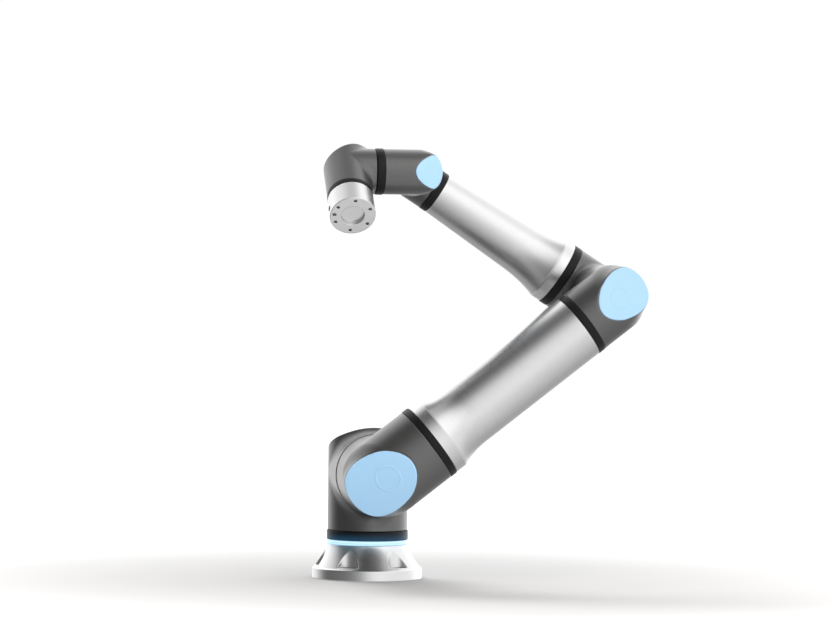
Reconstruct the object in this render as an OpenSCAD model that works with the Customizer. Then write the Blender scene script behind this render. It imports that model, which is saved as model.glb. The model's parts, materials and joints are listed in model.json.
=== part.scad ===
// Six-axis collaborative robot arm, with its joint modules inside the castings.
// Origin: centre of the base flange's underside. +Z is up. The arm rises towards +X,
// and its links lie in planes in front of the turret, towards -Y.

/* [Links] */
// Height of the shoulder axis above the base
base_height = 236.3; // [230:0.1:245]
// From the turret axis forward to the upper arm's plane
shoulder_offset = 260; // [250:0.5:275]
// Shoulder axis to elbow axis
upper_arm_length = 637; // [600:1:680]
// From the turret axis forward to the forearm's plane
elbow_offset = 43; // [40:0.5:50]
// Elbow axis to wrist 1 axis
forearm_length = 503.7; // [480:0.1:540]
// From the turret axis forward to the wrist's plane
wrist_1_offset = 201; // [198:0.5:210]
// Wrist 1 axis to wrist 2's tool axis
wrist_2_offset = 159.3; // [158:0.1:170]
// Wrist 2 axis to the tool face
tool_offset = 154.3; // [153:0.1:165]

/* [Pose at rest] */
// Upper arm above the level
upper_arm_angle = 38; // [30:0.5:60]
// Forearm, counted from the same level line
forearm_angle = 147.5; // [130:0.5:160]
// Wrist 1 leg, counted from the same level line
wrist_angle = 180; // [170:0.5:190]
// Tool axis, counted from straight down towards the front
tool_tilt = 50; // [0:1:90]
// Turn of the tool flange about its own axis
tool_roll = -3; // [-60:1:60]

/* [Castings] */
// Radius of the turret casting
turret_r = 89; // [88:0.5:92]
// Radius of the shoulder casting
shoulder_r = 87.5; // [86:0.5:90]
// Radius of the elbow castings
elbow_r = 73.5; // [72:0.5:76]
// Radius of the forearm's wrist knuckle
knuckle_r = 47.8; // [47:0.1:49]
// Radius of the wrist castings
wrist_r = 49.3; // [48:0.1:50]
// Wall thickness of the large castings
wall = 6; // [5:0.5:8]
// Wall thickness of the wrist castings
wrist_wall = 4.3; // [4:0.1:5]
// Slope of the caps, towards the casting's leg
cap_tilt = 23.7; // [15:0.1:25]
// Slope of the shoulder's cap, which is steeper
shoulder_cap_tilt = 30; // [20:0.1:30]
// Thickness of the caps
cap_t = 4; // [3:0.5:5]

/* [Base] */
// Radius of the mounting flange
flange_r = 122.5; // [121:0.5:125]
// Thickness of the flange's rim
flange_t = 23; // [18:0.5:25]
// Bolt circle of the base
base_pcd = 208; // [206:1:210]
// Radius of the base bolt holes
base_bolt_r = 6.75; // [5.5:0.25:7]
// Radius of the pockets over the base bolts, which open outwards
pocket_r = 25; // [22:0.5:26]
// Turn of the bolt circle about +Z
base_clocking = 0; // [-5:1:10]

/* [Tool flange] */
// Radius of the tool flange
tool_r = 49.5; // [49:0.1:50]
// Length of the tool flange
tool_length = 54.7; // [50:0.1:60]
// Bolt circle of the tool screws
tool_pcd = 80; // [78:1:82]
// Radius of the tapped holes
tool_bolt_r = 3.4; // [3.3:0.1:4]
// Radius of the centring recess
tool_recess_r = 25; // [24:0.5:26]
// Depth of the centring recess
tool_recess_d = 8; // [6:0.5:10]

/* [Hidden] */

$fn = 96;
bite = 1;             // how far a cutter runs past the face it opens
seam = 0.5;           // gap between two castings that turn against each other
space = 600;          // side of the block that cuts a casting along its cap

// Base, from the floor up
foot_top = 76;        // top of the silver foot, under the light ring
light_top = 86;
mouth_1 = 107.5;      // seam between the base and the turret
foot_r = 89.5;        // the foot's radius under the light ring
hub_r = 80;           // the base's core, inside the two rings
base_hollow_r = 49;
ledge = 28;           // seat of the base bolts' heads
bolt_access = 11;     // from a base bolt's axis to its pocket's inner side
gland_z = 47;
gland_r = 14;         // barrel of the cable gland, whose parts lie along +X from the turret axis
gland_start = 62;
gland_seat = 104.5;   // spot face that its nut is tightened on
gland_nut_h = 6;
gland_end = 118.5;
gland_bore_r = 8;

// Places of the other seams
mouth_2 = 130;        // distance in front of the turret axis
mouth_3 = 150;
mouth_4 = 122;
mouth_5 = 97.5;       // distance from the wrist 1 axis
mouth_6 = 94;         // distance from the wrist 2 axis

// Rings over the screwed joints of the tubes: distance from the nearer axis, and width
ring_2 = [116, 16];
ring_3 = [83.5, 16.5];
ring_4 = [85.5, 18];
ring_5 = [59, 18];
ring_6 = [79.5, 17.5];
ring_depth = 5;       // depth of the groove that a ring lies in
collar_2 = 25;        // straight collar of the upper arm tube
collar_4 = 22;
flare_2 = 75;         // length over which the upper arm tube narrows
flare_4 = 90;
flare_power = 2.3;    // how soon a flare dies away
tube_wall = 5;
upper_tube_r = 74;
fore_tube_r = 48.3;   // at the wrist
fore_tube_wide = 12.3; // how much wider its taper is at the elbow
end_wall = 8;         // end walls of castings and tubes
tool_seam = tool_offset - tool_length - mouth_6 - seam;
tool_band = 8;        // how far the ring by the tool reaches over its casting
band_depth = 2.2;

// Holes of the tool flange, from the tool face
tool_bolt_d = 16;
dowel_r = 4;
dowel_d = 10;
connector_r = 5.5;
connector_z = 20;
connector_l = 12.5;
connector_rim = 1.5;

// Caps: distance from the leg's axis to the cap's plane as a share of the radius, and the plane's slope
turret_cut = [0.67, cap_tilt];
shoulder_cut = [0.585, shoulder_cap_tilt];
elbow_cut = [0.69, cap_tilt];
wrist_1_cut = [0.87, cap_tilt];
wrist_2_cut = [0.67, cap_tilt];
cap_lip = 4;          // how deep a cap reaches into its casting
lip_t = 2.5;
cap_gap = 0.3;

// Joint modules: inner radius of the casting that holds each of them
bore_1 = turret_r - wall;
bore_2 = shoulder_r - wall;
bore_3 = elbow_r - wall;
bore_4 = wrist_r - wrist_wall;

// Parts of a joint module, as shares of the bore it sits in
hollow_k = 0.28;      // hole for the cables
shaft_k = 0.25;
spigot_k = 0.70;
flex_k = 0.62;
can_k = 0.64;
gap_k = 0.46;         // air gap between stator and magnets
spline_k = 0.20;      // width of the toothed band
cup_k = 0.38;         // depth of the flexspline
motor_k = 0.30;       // length of the stator
running_fit = 0.05;   // radial play of a shaft in its bearing
air = 0.5;
inset = 3;            // from the seam to the output bearing
flex_t = 1.3;         // wall of the flexspline
boss_t = 2.5;
shaft_t = 2;
shield_t = 4;
board_t = 1.6;
post_h = 3;           // posts that carry a drive board
post_r = 2.5;
chip_h = 3;

function bearing_w(bore) = 0.14 * bore + 2;
// Distances from the seam inwards, along the joint's axis
function spigot_end(bore) = inset + bearing_w(bore) + 1;
function cup_end(bore) = spigot_end(bore) + cup_k * bore;
function can_start(bore) = cup_end(bore) + 0.5;
function can_end(bore) = can_start(bore) + motor_k * bore + shield_t;

// ---------- places ----------
module at_shoulder() {
    translate([0, -shoulder_offset, base_height]) rotate([0, -upper_arm_angle, 0]) children();
}
module at_elbow() {
    at_shoulder() translate([upper_arm_length, 0, 0]) rotate([0, 180, 0]) children();
}
module at_forearm() {
    translate([0, -shoulder_offset, base_height]) rotate([0, -upper_arm_angle, 0])
        translate([upper_arm_length, shoulder_offset - elbow_offset, 0])
            rotate([0, upper_arm_angle - forearm_angle, 0]) children();
}
module at_wrist_1() {
    at_forearm() translate([forearm_length, elbow_offset - wrist_1_offset, 0])
        rotate([0, forearm_angle - wrist_angle, 0]) children();
}
module at_wrist_2() {
    at_wrist_1() translate([wrist_2_offset, 0, 0]) rotate([-90 - tool_tilt, 180, 0]) children();
}
module at_turret() {
    translate([0, 0, base_height]) rotate([-90, 0, -90]) children();
}
module at_tool() {
    at_wrist_2() rotate([-90, 0, 0]) rotate([0, 0, tool_roll]) children();
}
// Origin on each joint's seam, +Z from the motor side to the driven side
module at_joint(n) {
    if (n == 1) translate([0, 0, mouth_1]) rotate([180, 0, 0]) children();
    if (n == 2) at_shoulder() translate([0, shoulder_offset - mouth_2, 0]) rotate([-90, 0, 0]) children();
    if (n == 3) at_elbow() translate([0, shoulder_offset - mouth_3, 0]) rotate([-90, 0, 0]) children();
    if (n == 4) at_wrist_1() translate([0, wrist_1_offset - mouth_4, 0]) rotate([-90, 0, 0]) children();
    if (n == 5) at_wrist_1() translate([mouth_5, 0, 0]) rotate([0, -90, 0]) children();
    if (n == 6) at_wrist_2() translate([0, mouth_6, 0]) rotate([-90, 0, 0]) children();
}

// ---------- shapes shared by the castings ----------
// A casting's leg runs along +X, and its joint's axis along Y with the cap on the -Y side.
module rod_x(r, from, to) {
    translate([from, 0, 0]) rotate([0, 90, 0]) cylinder(r = r, h = to - from);
}
module rod_y(r, from, to) {
    translate([0, from, 0]) rotate([-90, 0, 0]) cylinder(r = r, h = to - from);
}
// Everything on the cap's side of its plane, lifted by out
module beyond_cap(r, cut, out) {
    translate([0, -cut[0] * r, 0]) rotate([0, 0, -cut[1]])
        translate([-space / 2, -space - out, -space / 2]) cube(space);
}
// Bend whose outer corner is where its two cylinders meet
module mitred_bend(r, reach, leg) {
    rod_y(r, 0, reach);
    rod_x(r, 0, leg);
    intersection() {
        rod_y(r, -r, r);
        rod_x(r, -r, r);
    }
}
// Bend whose joint cylinder runs on past the leg
module full_bend(r, reach, leg) {
    rod_y(r, -1.5 * r, reach);
    rod_x(r, 0, leg);
}
module bend(r, reach, leg, full) {
    if (full) full_bend(r, reach, leg);
    else mitred_bend(r, reach, leg);
}
// Hollow casting: open at the joint's seam and under the cap, with a wall across the leg's end
module housing(r, t, reach, leg, cut, full) {
    difference() {
        bend(r, reach, leg, full);
        beyond_cap(r, cut, 0);
        bend(r - t, reach + bite, leg - end_wall, full);
        rod_x(hollow_k * r, leg - end_wall - bite, leg + bite);
    }
}
// Cap: flush slab over the cut, with a lip inside the casting
module cap(r, t, cut, full) {
    difference() {
        intersection() {
            bend(r, 0, 2 * r, full);
            beyond_cap(r, cut, 0);
        }
        beyond_cap(r, cut, cap_t);
    }
    difference() {
        intersection() {
            bend(r - t - cap_gap, 0, 2 * r, full);
            beyond_cap(r, cut, -cap_lip);
        }
        bend(r - t - cap_gap - lip_t, 0, 2 * r, full);
        beyond_cap(r, cut, bite);
    }
}
// Closed knuckle without a motor: joint side along +Y with a wall, leg along +X
module knuckle(r, t, reach, leg, cut) {
    difference() {
        mitred_bend(r, reach, leg);
        beyond_cap(r, cut, 0);
        difference() {
            mitred_bend(r - t, reach - end_wall, leg - end_wall);
            beyond_cap(r, cut, -t);
        }
        rod_x(hollow_k * r, leg - end_wall - bite, leg + bite);
        rod_y(hollow_k * r, reach - end_wall - bite, reach + bite);
    }
}
// Ring that covers a screwed joint, over a groove in its casting or tube
module ring(r_out, r_in, x, w) {
    difference() {
        rod_x(r_out, x, x + w);
        rod_x(r_in, x - bite, x + w + bite);
    }
}
// Neck that a casting has under a ring, up to the tube's end wall
module neck(r, x, w) {
    difference() {
        rod_x(r, x - end_wall, x + w);
        rod_x(hollow_k * r, x - end_wall - bite, x + w + bite);
    }
}
// Arm tube along +X: collar of radius r0, flare onto a taper down to r1, with an end wall at each end
module arm_tube(x0, x1, collar, flare, r0, r1, wide) {
    steps = 10;
    start = x0 + collar;
    flare_h = r0 - r1 - wide;
    outside = [for (i = [0 : steps]) let (x = start + flare * i / steps)
        [x, r1 + wide * (x1 - x) / (x1 - start) + flare_h * pow(1 - i / steps, flare_power)]];
    inside = [for (p = outside) [p[0], p[1] - tube_wall]];
    rotate([0, 90, 0]) rotate([0, 0, 90]) difference() {
        rotate_extrude() polygon(concat(
            [[0, x0], [r0, x0]], [for (p = outside) [p[1], p[0]]], [[r1, x1], [0, x1]]));
        rotate_extrude() polygon(concat(
            [[0, x0 + end_wall], [r0 - tube_wall, x0 + end_wall]],
            [for (p = inside) [p[1], p[0]]],
            [[r1 - tube_wall, x1 - end_wall], [0, x1 - end_wall]]));
        translate([0, 0, x0 - bite]) cylinder(r = hollow_k * r1, h = x1 - x0 + 2 * bite);
    }
}

// ---------- parts of a joint module, +Z towards the driven side ----------
module ring_z(r_out, r_in, z0, z1) {
    translate([0, 0, z0]) difference() {
        cylinder(r = r_out, h = z1 - z0);
        translate([0, 0, -bite]) cylinder(r = r_in, h = z1 - z0 + 2 * bite);
    }
}
// Hub of the driven casting, which turns in the output bearing
module spigot(bore) {
    ring_z(spigot_k * bore - running_fit, hollow_k * bore, -spigot_end(bore), seam + bite);
}
// Output bearing, and the bearing at the back of the motor shaft
module bearings(bore) {
    ring_z(bore, spigot_k * bore, -inset - bearing_w(bore), -inset);
    ring_z(shaft_k * bore + 4, shaft_k * bore + running_fit, -can_end(bore), -can_end(bore) + shield_t);
}
module circular_spline(bore) {
    ring_z(bore - running_fit, flex_k * bore + cap_gap, -cup_end(bore), -cup_end(bore) + spline_k * bore);
}
// Thin cup, screwed to the spigot by its closed end
module flexspline(bore) {
    ring_z(flex_k * bore - 1, hollow_k * bore, -spigot_end(bore) - boss_t, -spigot_end(bore));
    ring_z(flex_k * bore - 1, flex_k * bore - 1 - flex_t, -cup_end(bore), -spigot_end(bore) - boss_t);
    ring_z(flex_k * bore, flex_k * bore - 1 - flex_t, -cup_end(bore), -cup_end(bore) + spline_k * bore);
}
// Windings and core in a can, whose flange closes the gear's back
module stator(bore) {
    ring_z(bore - running_fit, gap_k * bore, -can_start(bore) - boss_t, -can_start(bore));
    ring_z(can_k * bore, gap_k * bore, -can_end(bore) + shield_t, -can_start(bore) - boss_t);
    ring_z(can_k * bore, shaft_k * bore + 4, -can_end(bore), -can_end(bore) + shield_t);
}
// Hollow shaft with the wave generator and the magnets on it
module rotor(bore) {
    gear_w = spline_k * bore;
    ring_z(shaft_k * bore, shaft_k * bore - shaft_t, -can_end(bore) - 1, -spigot_end(bore) - boss_t - 1);
    ring_z(flex_k * bore - 1 - flex_t - cap_gap, shaft_k * bore - bite,
        -cup_end(bore), -cup_end(bore) + gear_w - 2);
    ring_z(gap_k * bore - air, shaft_k * bore - bite, -can_end(bore) + shield_t + 1, -can_start(bore));
}
module drive_board(bore) {
    top = -can_end(bore) - post_h;
    r = can_k * bore;
    difference() {
        union() {
            translate([0, 0, top - board_t]) cylinder(r = r, h = board_t);
            for (a = [0, 120, 240]) rotate(a) {
                translate([r - 2 * post_r, 0, top - bite]) cylinder(r = post_r, h = post_h + bite);
                rotate(60) translate([r / 2 + 1, -r / 6, top - board_t - chip_h])
                    cube([r / 4, r / 3, chip_h + bite]);
            }
        }
        translate([0, 0, top - board_t - chip_h - bite])
            cylinder(r = shaft_k * bore + 1, h = board_t + chip_h + post_h);
    }
}

// ---------- base ----------
module base_casting() {
    cone_steps = 6;
    // Slightly hollow cone between the flange and the light ring
    cone = [for (i = [0 : cone_steps])
        [foot_r + (flange_r - 3 - foot_r) * pow(1 - i / cone_steps, 1.35),
         ledge - 4 + (foot_top - ledge + 4) * i / cone_steps]];
    color("silver") difference() {
        union() {
            rotate_extrude() polygon(concat(
                [[0, 0], [flange_r - 1, 0], [flange_r, 1],
                 [flange_r, flange_t - 1], [flange_r - 1, flange_t]],
                cone, [[hub_r, foot_top], [hub_r, mouth_1 - seam], [0, mouth_1 - seam]]));
            at_joint(1) spigot(bore_1);
        }
        translate([0, 0, -bite]) cylinder(r = base_hollow_r, h = foot_top + bite);
        translate([0, 0, foot_top - bite]) cylinder(r = hollow_k * bore_1, h = mouth_1);
        for (i = [0 : 5]) rotate(base_clocking + 60 * i) translate([base_pcd / 2, 0, 0]) {
            translate([pocket_r - bolt_access, 0, ledge]) cylinder(r = pocket_r, h = foot_top);
            translate([0, 0, -bite]) cylinder(r = base_bolt_r, h = ledge + 2 * bite);
        }
        at_gland() {
            cylinder(r = gland_r, h = flange_r);
            translate([0, 0, gland_seat]) cylinder(r = gland_r + 6, h = flange_r - gland_seat + bite);
        }
    }
}
module at_gland() {
    rotate(base_clocking + 90) translate([0, 0, gland_z]) rotate([0, 90, 0]) children();
}
module base_cable_gland() {
    color("dimgray") at_gland() {
        ring_z(gland_r, gland_bore_r, gland_start, gland_seat + bite);
        difference() {
            translate([0, 0, gland_seat]) cylinder(r = gland_r + 4, h = gland_nut_h, $fn = 6);
            translate([0, 0, gland_seat - bite]) cylinder(r = gland_bore_r, h = gland_nut_h + 2 * bite);
        }
        ring_z(gland_r - 2, gland_bore_r, gland_seat + gland_nut_h - bite, gland_end);
    }
}
module light_ring() {
    color("paleturquoise") ring_z(90, hub_r, foot_top, light_top);
}
module base_seal_ring() {
    color("black") ring_z(turret_r + 1.5, hub_r, light_top, mouth_1 - seam);
}

// ---------- turret ----------
module turret_housing() {
    color("dimgray") {
        at_turret() housing(turret_r, wall, base_height - mouth_1, mouth_2 - seam, turret_cut, true);
        at_joint(2) spigot(bore_2);
    }
}
module turret_cap() {
    color("lightskyblue") at_turret() cap(turret_r, wall, turret_cut, true);
}

// ---------- upper arm ----------
module shoulder_housing() {
    color("dimgray") at_shoulder() {
        housing(shoulder_r, wall, shoulder_offset - mouth_2, ring_2[0], shoulder_cut, false);
        neck(shoulder_r - ring_depth, ring_2[0], ring_2[1]);
    }
}
module shoulder_cap() {
    color("lightskyblue") at_shoulder() cap(shoulder_r, wall, shoulder_cut, false);
}
module upper_arm_lower_ring() {
    color("black") at_shoulder() ring(shoulder_r + 0.7, shoulder_r - ring_depth, ring_2[0], ring_2[1]);
}
module upper_arm_tube() {
    color("silver") at_shoulder() arm_tube(ring_2[0] + ring_2[1],
        upper_arm_length - ring_3[0] - ring_3[1], collar_2, flare_2, shoulder_r, upper_tube_r, 0);
}
module upper_arm_upper_ring() {
    color("black") at_elbow() ring(elbow_r + 0.9, elbow_r - ring_depth, ring_3[0], ring_3[1]);
}
module elbow_housing() {
    color("dimgray") at_elbow() {
        housing(elbow_r, wall, shoulder_offset - mouth_3, ring_3[0], elbow_cut, false);
        neck(elbow_r - ring_depth, ring_3[0], ring_3[1]);
    }
}
module elbow_cap() {
    color("lightskyblue") at_elbow() cap(elbow_r, wall, elbow_cut, false);
}

// ---------- forearm ----------
module forearm_elbow_knuckle() {
    color("dimgray") {
        at_forearm() {
            mirror([0, 1, 0]) knuckle(elbow_r, wall, mouth_3 - seam - elbow_offset, ring_4[0], elbow_cut);
            neck(elbow_r - ring_depth, ring_4[0], ring_4[1]);
        }
        at_joint(3) spigot(bore_3);
    }
}
module forearm_lower_ring() {
    color("black") at_forearm() ring(elbow_r + 0.7, elbow_r - ring_depth, ring_4[0], ring_4[1]);
}
module forearm_tube() {
    color("silver") at_forearm() arm_tube(
        ring_4[0] + ring_4[1], forearm_length - ring_5[0] - ring_5[1],
        collar_4, flare_4, elbow_r - 0.3, fore_tube_r, fore_tube_wide);
}
module at_forearm_end() {
    at_forearm() translate([forearm_length, 0, 0]) rotate([0, 180, 0]) children();
}
module forearm_upper_ring() {
    color("black") at_forearm_end() ring(knuckle_r + 0.9, knuckle_r - ring_depth, ring_5[0], ring_5[1]);
}
module forearm_wrist_knuckle() {
    color("dimgray") {
        at_forearm_end() {
            mirror([0, 1, 0])
                knuckle(knuckle_r, wrist_wall, mouth_4 - seam - elbow_offset, ring_5[0], wrist_1_cut);
            neck(knuckle_r - ring_depth, ring_5[0], ring_5[1]);
        }
        at_joint(4) spigot(bore_4);
    }
}

// ---------- wrists ----------
module wrist_1_housing() {
    color("dimgray") {
        at_wrist_1() {
            housing(wrist_r, wrist_wall, wrist_1_offset - mouth_4, ring_6[0], wrist_1_cut, false);
            neck(wrist_r - ring_depth, ring_6[0], ring_6[1]);
        }
        at_joint(5) spigot(bore_4);
    }
}
module wrist_1_cap() {
    color("lightskyblue") at_wrist_1() cap(wrist_r, wrist_wall, wrist_1_cut, false);
}
module wrist_1_seal_ring() {
    color("black") at_wrist_1() ring(wrist_r + 1.2, wrist_r - ring_depth, ring_6[0], ring_6[1]);
}
module wrist_2_housing() {
    color("dimgray") at_wrist_2() difference() {
        full_bend(wrist_r, mouth_6, wrist_2_offset - mouth_5 - seam);
        beyond_cap(wrist_r, wrist_2_cut, 0);
        full_bend(wrist_r - wrist_wall, mouth_6 + bite, wrist_2_offset - mouth_5 + bite);
        rotate([-90, 0, 0]) ring_z(wrist_r + bite, wrist_r - band_depth, mouth_6 - tool_band, mouth_6 + bite);
    }
}
module wrist_2_cap() {
    color("lightskyblue") at_wrist_2() cap(wrist_r, wrist_wall, wrist_2_cut, true);
}
module wrist_2_seal_ring() {
    color("black") at_joint(6) {
        ring_z(wrist_r + 0.3, wrist_r - wrist_wall, 0, tool_seam);
        ring_z(wrist_r + 0.3, wrist_r - band_depth, -tool_band, bite);
    }
}

// ---------- tool ----------
module tool_flange() {
    color("silver") at_tool() difference() {
        union() {
            translate([0, 0, tool_offset - tool_length]) cylinder(r = tool_r, h = tool_length);
            translate([0, 0, mouth_6 - spigot_end(bore_4)]) cylinder(
                r = spigot_k * bore_4 - running_fit, h = spigot_end(bore_4) + tool_seam + seam + bite);
        }
        translate([0, 0, mouth_6 - tool_bolt_d]) cylinder(r = hollow_k * bore_4, h = tool_length);
        translate([0, 0, tool_offset - tool_recess_d])
            cylinder(r = tool_recess_r, h = tool_recess_d + bite);
        for (i = [0 : 5]) rotate(30 + 60 * i) translate([tool_pcd / 2, 0, tool_offset - tool_bolt_d])
            cylinder(r = tool_bolt_r, h = tool_bolt_d + bite);
        translate([-tool_pcd / 2, 0, tool_offset - dowel_d]) cylinder(r = dowel_r, h = dowel_d + bite);
        at_connector() cylinder(r = connector_r, h = connector_l + bite);
    }
}
// Origin at the bottom of the connector's hole in the flange's side, +Z outwards
module at_connector() {
    translate([connector_l - tool_r - bite / 2, 0, tool_offset - connector_z])
        rotate([0, -90, 0]) children();
}
module tool_connector() {
    color("black") at_tool() at_connector() {
        cylinder(r = connector_r, h = connector_l / 2);
        ring_z(connector_r, connector_r - connector_rim, 0, connector_l);
    }
}

// ---------- drive electronics ----------
module turret_drive_board() {
    color("green") at_joint(1) drive_board(bore_1);
}
module upper_arm_drive_boards() {
    color("green") {
        at_joint(2) drive_board(bore_2);
        at_joint(3) drive_board(bore_3);
    }
}
module wrist_1_drive_board() {
    color("green") at_joint(4) drive_board(bore_4);
}
module wrist_2_drive_boards() {
    color("green") {
        at_joint(5) drive_board(bore_4);
        at_joint(6) drive_board(bore_4);
    }
}

// ---------- joint modules ----------
module joint_1_bearings() {
    color("gainsboro") at_joint(1) bearings(bore_1);
}
module joint_1_circular_spline() {
    color("slategray") at_joint(1) circular_spline(bore_1);
}
module joint_1_flexspline() {
    color("lightsteelblue") at_joint(1) flexspline(bore_1);
}
module joint_1_stator() {
    color("peru") at_joint(1) stator(bore_1);
}
module joint_1_rotor() {
    color("goldenrod") at_joint(1) rotor(bore_1);
}
module joint_2_bearings() {
    color("gainsboro") at_joint(2) bearings(bore_2);
}
module joint_2_circular_spline() {
    color("slategray") at_joint(2) circular_spline(bore_2);
}
module joint_2_flexspline() {
    color("lightsteelblue") at_joint(2) flexspline(bore_2);
}
module joint_2_stator() {
    color("peru") at_joint(2) stator(bore_2);
}
module joint_2_rotor() {
    color("goldenrod") at_joint(2) rotor(bore_2);
}
module joint_3_bearings() {
    color("gainsboro") at_joint(3) bearings(bore_3);
}
module joint_3_circular_spline() {
    color("slategray") at_joint(3) circular_spline(bore_3);
}
module joint_3_flexspline() {
    color("lightsteelblue") at_joint(3) flexspline(bore_3);
}
module joint_3_stator() {
    color("peru") at_joint(3) stator(bore_3);
}
module joint_3_rotor() {
    color("goldenrod") at_joint(3) rotor(bore_3);
}
module joint_4_bearings() {
    color("gainsboro") at_joint(4) bearings(bore_4);
}
module joint_4_circular_spline() {
    color("slategray") at_joint(4) circular_spline(bore_4);
}
module joint_4_flexspline() {
    color("lightsteelblue") at_joint(4) flexspline(bore_4);
}
module joint_4_stator() {
    color("peru") at_joint(4) stator(bore_4);
}
module joint_4_rotor() {
    color("goldenrod") at_joint(4) rotor(bore_4);
}
module joint_5_bearings() {
    color("gainsboro") at_joint(5) bearings(bore_4);
}
module joint_5_circular_spline() {
    color("slategray") at_joint(5) circular_spline(bore_4);
}
module joint_5_flexspline() {
    color("lightsteelblue") at_joint(5) flexspline(bore_4);
}
module joint_5_stator() {
    color("peru") at_joint(5) stator(bore_4);
}
module joint_5_rotor() {
    color("goldenrod") at_joint(5) rotor(bore_4);
}
module joint_6_bearings() {
    color("gainsboro") at_joint(6) bearings(bore_4);
}
module joint_6_circular_spline() {
    color("slategray") at_joint(6) circular_spline(bore_4);
}
module joint_6_flexspline() {
    color("lightsteelblue") at_joint(6) flexspline(bore_4);
}
module joint_6_stator() {
    color("peru") at_joint(6) stator(bore_4);
}
module joint_6_rotor() {
    color("goldenrod") at_joint(6) rotor(bore_4);
}

base_casting();
base_cable_gland();
light_ring();
base_seal_ring();
turret_housing();
turret_cap();
shoulder_housing();
shoulder_cap();
upper_arm_lower_ring();
upper_arm_tube();
upper_arm_upper_ring();
elbow_housing();
elbow_cap();
forearm_elbow_knuckle();
forearm_lower_ring();
forearm_tube();
forearm_upper_ring();
forearm_wrist_knuckle();
wrist_1_housing();
wrist_1_cap();
wrist_1_seal_ring();
wrist_2_housing();
wrist_2_cap();
wrist_2_seal_ring();
tool_flange();
tool_connector();
turret_drive_board();
upper_arm_drive_boards();
wrist_1_drive_board();
wrist_2_drive_boards();
joint_1_bearings();
joint_1_circular_spline();
joint_1_flexspline();
joint_1_stator();
joint_1_rotor();
joint_2_bearings();
joint_2_circular_spline();
joint_2_flexspline();
joint_2_stator();
joint_2_rotor();
joint_3_bearings();
joint_3_circular_spline();
joint_3_flexspline();
joint_3_stator();
joint_3_rotor();
joint_4_bearings();
joint_4_circular_spline();
joint_4_flexspline();
joint_4_stator();
joint_4_rotor();
joint_5_bearings();
joint_5_circular_spline();
joint_5_flexspline();
joint_5_stator();
joint_5_rotor();
joint_6_bearings();
joint_6_circular_spline();
joint_6_flexspline();
joint_6_stator();
joint_6_rotor();
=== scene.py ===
"""Looks for the collaborative robot arm: smooth castings, domed caps, turned tubes and rings, and a studio.

Castings are fields (distances to a surface, in millimetres, in a link's own frame) meshed on a grid and pulled
exactly onto the surface. Tubes and rings are turned from a profile. All places come from the joints in the frame.
"""
import json
import math

import bpy
import numpy as np
from mathutils import Matrix, Vector

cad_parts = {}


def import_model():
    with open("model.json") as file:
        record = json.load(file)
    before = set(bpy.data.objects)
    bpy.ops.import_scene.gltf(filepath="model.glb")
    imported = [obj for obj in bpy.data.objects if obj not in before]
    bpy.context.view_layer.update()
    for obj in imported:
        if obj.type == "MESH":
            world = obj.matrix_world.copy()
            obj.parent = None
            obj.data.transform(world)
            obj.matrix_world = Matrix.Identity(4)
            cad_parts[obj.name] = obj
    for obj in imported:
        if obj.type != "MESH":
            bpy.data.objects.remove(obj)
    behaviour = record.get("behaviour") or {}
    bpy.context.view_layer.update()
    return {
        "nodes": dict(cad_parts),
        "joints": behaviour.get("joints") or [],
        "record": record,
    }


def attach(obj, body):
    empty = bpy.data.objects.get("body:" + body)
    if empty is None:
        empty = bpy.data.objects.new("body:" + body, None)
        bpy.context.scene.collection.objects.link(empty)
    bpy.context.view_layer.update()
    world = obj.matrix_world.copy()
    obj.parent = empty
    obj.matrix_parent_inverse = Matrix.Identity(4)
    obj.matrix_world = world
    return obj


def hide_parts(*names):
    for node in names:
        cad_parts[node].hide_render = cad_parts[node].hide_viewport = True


MM = 0.001

# ---------------------------------------------------------------- driving sizes, in millimetres
TURRET_R = 89.0
SHOULDER_R = 87.5
ELBOW_R = 73.5
KNUCKLE_R = 47.8
WRIST_R = 49.3
CAP_SLOPE = math.tan(math.radians(23.7))
SHOULDER_SLOPE = math.tan(math.radians(30.0))
CAP_LIP = 3.0             # width of the casting's edge around a sunk cap
WELL_DEPTH = 4.0          # depth of the seat that a sunk cap sits in
CORNER_SPAN = 0.7         # share of a bend's radius over which the round of its outer corner grows

FLANGE_R = 122.5
FLANGE_T = 23.0
FOOT_R = 89.5
FOOT_TOP = 76.0
LIGHT_R = 90.0
LIGHT_TOP = 86.0
HUB_R = 80.0
LEDGE = 28.0              # height of the bolt pockets' floors
BASE_PCD = 208.0
POCKET_R = 25.0
BOLT_ACCESS = 11.0
BOLT_R = 6.75
BASE_CLOCKING = 0.0
GLAND_Z = 47.0
GLAND_R = 14.0
GLAND_SEAT = 104.5
GLAND_MARGIN = 6.0

MOUTH_1 = 107.5           # seams where castings turn against each other, as in the CAD model
MOUTH_2 = 130.0
MOUTH_3 = 150.0
MOUTH_4 = 122.0
MOUTH_5 = 97.5
MOUTH_6 = 94.0
SEAM = 0.5
GROOVE = 0.9              # rounding of the castings' edges at a seam

RING_2 = (116.0, 16.0)    # rings: distance from the nearer axis, and width
RING_3 = (83.5, 16.5)
RING_4 = (85.5, 18.0)
RING_5 = (59.0, 18.0)
RING_6 = (79.5, 17.5)

RING_DEPTH = 5.0
TOOL_BAND = 8.0           # how far the ring by the tool reaches over its casting
BAND_DEPTH = 2.2

TOOL_R = 49.5
TOOL_LENGTH = 54.7
TOOL_OFFSET = 154.3
TOOL_ROLL = -3.0
TOOL_PCD = 80.0
RECESS_R = 25.0
RECESS_DEPTH = 8.0
SCREW_R = 3.4
SCREW_DEPTH = 14.0
DOWEL_R = 4.0
DOWEL_DEPTH = 12.0
PORT_R = 5.5              # socket of the tool's connector
PORT_DROP = 20.0
PORT_FLOOR = 37.5

ROOM = 2.0                # brightest part of the studio
BACKDROP = 1.02           # what the camera sees behind the arm

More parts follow.
